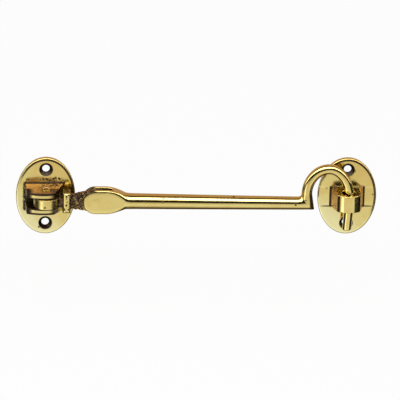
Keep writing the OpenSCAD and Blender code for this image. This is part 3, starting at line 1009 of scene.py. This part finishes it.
# What the brass mirrors, by the angle in degrees that it climbs from straight ahead, over the top and back
PALE, DIM, FLOOR_EDGE = (0.62, 0.58, 0.52), (0.58, 0.53, 0.46), (0.60, 0.55, 0.48)
UNDER, CAMERA_SIDE, SOFT_BOX = (0.06, 0.035, 0.02), (0.012, 0.01, 0.014), (1.0, 0.99, 0.98)
BOX_EDGE = (0.10, 0.06, 0.04)
STUDIO = (
    (-180, PALE), (-142, DIM), (-118, UNDER), (-90, UNDER), (-70, FLOOR_EDGE),
    (-48, (0.95, 0.95, 0.93)), (-30, (1.0, 1.0, 0.98)), (-14, (0.80, 0.78, 0.74)), (-1, (0.62, 0.60, 0.56)),
    (4, CAMERA_SIDE), (39, CAMERA_SIDE), (44, SOFT_BOX), (74, SOFT_BOX), (77, BOX_EDGE), (100, BOX_EDGE),
    (106, (0.60, 0.38, 0.25)), (148, (0.54, 0.34, 0.22)), (166, (0.56, 0.37, 0.26)), (180, PALE),
)


def studio_world(scene):
    """White to the eye; in the brass, pale below the camera, dark behind it and bright over it."""
    scene.world = bpy.data.worlds.new("studio")
    sums = Sums(emptied(scene.world))
    way = sums.node("ShaderNodeSeparateXYZ", {0: sums.node("ShaderNodeTexCoord").outputs["Generated"]})
    ahead = sums.times(way.outputs[1], -1.0)
    degree = math.radians(1)
    climb = sums.calc("DIVIDE", sums.calc("ARCTAN2", way.outputs[2], ahead), degree)
    turn = sums.calc("DIVIDE", sums.calc("ARCTAN2", way.outputs[0], ahead), degree)
    half_turn = 180.0
    along = sums.node("ShaderNodeMapRange", {0: climb, 1: -half_turn, 2: half_turn}).outputs[0]
    ramp = sums.node("ShaderNodeValToRGB", {0: along})
    held = ramp.color_ramp.elements
    for spot, tint in STUDIO:
        where = (spot + half_turn) / (2 * half_turn)
        element = held[0] if where == 0.0 else held[-1] if where == 1.0 else held.new(where)
        element.color = rgba(tint)
    # A soft box overhead and a bright strip at the left, with dark sides beyond them
    hot = sums.times(sums.fade(climb, 41.0, 47.0), sums.fade(climb, 77.0, 69.0))
    strip = sums.times(sums.fade(turn, -58.0, -50.0), sums.fade(turn, -34.0, -42.0),
                       sums.fade(climb, 8.0, 0.0))
    dark_right = sums.times(sums.fade(turn, 42.0, 54.0), sums.fade(turn, 126.0, 108.0))
    dark_left = sums.times(sums.fade(turn, -60.0, -72.0), sums.fade(turn, -126.0, -112.0, 0.3, 1.0),
                           sums.fade(turn, -172.0, -160.0))
    dark = sums.times(sums.most(dark_right, dark_left), sums.fade(climb, 40.0, 20.0))
    glow = sums.times(sums.plus(1.0, sums.times(hot, 2.6), sums.times(strip, 1.2)),
                      sums.fade(dark, 0.0, 1.0, 1.0, 0.04))
    studio = sums.node("ShaderNodeVectorMath", {0: ramp.outputs[0], "Scale": glow},
                       operation="SCALE").outputs[0]
    seen_by = sums.node("ShaderNodeLightPath")
    shown = sums.blend(seen_by.outputs["Is Glossy Ray"], (0.75, 0.75, 0.74, 1.0), studio)
    shown = sums.blend(seen_by.outputs["Is Camera Ray"], shown, (1.0, 1.0, 1.0, 1.0))
    sums.node("ShaderNodeOutputWorld", {0: sums.node("ShaderNodeBackground", {0: shown}).outputs[0]})


def lay_floor(stage):
    """A level floor, unseen in the brass."""
    half, ground = stage.floor_half, CAD_BOX[0][2] - stage.floor_drop
    mesh = bpy.data.meshes.new("floor")
    mesh.from_pydata([(-half, -half, ground), (half, -half, ground), (half, half, ground),
                      (-half, half, ground)], [], [(0, 1, 2, 3)])
    mesh.materials.append(floor_material(stage.floor))
    floor = link_object("floor", mesh)
    floor.visible_glossy = False


def set_soft_box(stage, middle):
    """A soft box over the camera's left, aimed at the latch."""
    lamp = bpy.data.lights.new("soft_box", "AREA")
    lamp.shape = "RECTANGLE"
    lamp.size, lamp.size_y = stage.soft_width, stage.soft_height
    lamp.energy = stage.soft_light
    box = link_object("soft_box", lamp)
    box.location = middle + Vector(stage.soft_place)
    box.rotation_euler = (middle - box.location).to_track_quat("-Z", "Y").to_euler()


def set_camera(scene, stage, middle):
    """A long lens that looks down on the latch, leaning a little."""
    away = Vector((math.sin(stage.turn) * math.cos(stage.rise), -math.cos(stage.turn) * math.cos(stage.rise),
                   math.sin(stage.rise)))
    across = Vector((math.cos(stage.turn), math.sin(stage.turn), 0.0))
    upward = away.cross(across)
    right = across * math.cos(stage.roll) + upward * math.sin(stage.roll)
    top = upward * math.cos(stage.roll) - across * math.sin(stage.roll)
    lens = bpy.data.cameras.new("camera")
    lens.sensor_width = 36.0
    lens.lens = lens.sensor_width * stage.distance / stage.frame_width
    lens.clip_end = 100.0
    camera = link_object("camera", lens)
    camera.matrix_world = Matrix((right, top, away)).transposed().to_4x4()
    camera.location = middle + right * stage.aim_right - top * stage.aim_down + away * stage.distance
    scene.camera = camera


class LATCH_OT_stage(bpy.types.Operator):
    """Sets the floor, the lights and the camera"""

    bl_idname = "latch.stage"
    bl_label = "Stage"

    def execute(self, context):
        scene, stage = context.scene, context.scene.latch_stage
        scene.view_settings.view_transform = "Standard"
        middle = Vector((stage.aim_along, 0.0, 0.0))
        lay_floor(stage)
        studio_world(scene)
        set_soft_box(stage, middle)
        set_camera(scene, stage, middle)
        return {"FINISHED"}


STEPS = ("hook_plate", "pins", "knuckle", "arm", "eye_plate", "stage")


class LATCH_PT_panel(bpy.types.Panel):
    """Lists the latch's pieces and sizes"""

    bl_idname = "LATCH_PT_panel"
    bl_label = "Hook and eye latch"
    bl_space_type = "VIEW_3D"
    bl_region_type = "UI"
    bl_category = "Latch"

    def draw(self, context):
        for step in STEPS:
            self.layout.operator("latch." + step)
        for group in GROUPS:
            held = getattr(context.scene, group)
            column = self.layout.column(align=True)
            for name in held.bl_rna.properties.keys():
                if name not in ("rna_type", "name"):
                    column.prop(held, name)


GROUPS = {"latch_arm": LatchArmSizes, "latch_cast": LatchCastSizes, "latch_finish": LatchFinish,
          "latch_stage": LatchStage}
CLASSES = (*GROUPS.values(), LATCH_OT_hook_plate, LATCH_OT_pins, LATCH_OT_knuckle, LATCH_OT_arm,
           LATCH_OT_eye_plate, LATCH_OT_stage, LATCH_PT_panel)


def register():
    for held in CLASSES:
        bpy.utils.register_class(held)
    for name, group in GROUPS.items():
        setattr(bpy.types.Scene, name, PointerProperty(type=group))


def unregister():
    for name in GROUPS:
        delattr(bpy.types.Scene, name)
    for held in reversed(CLASSES):
        bpy.utils.unregister_class(held)


def main():
    register()
    for step in STEPS:
        getattr(bpy.ops.latch, step)()


if __name__ == "__main__":
    main()
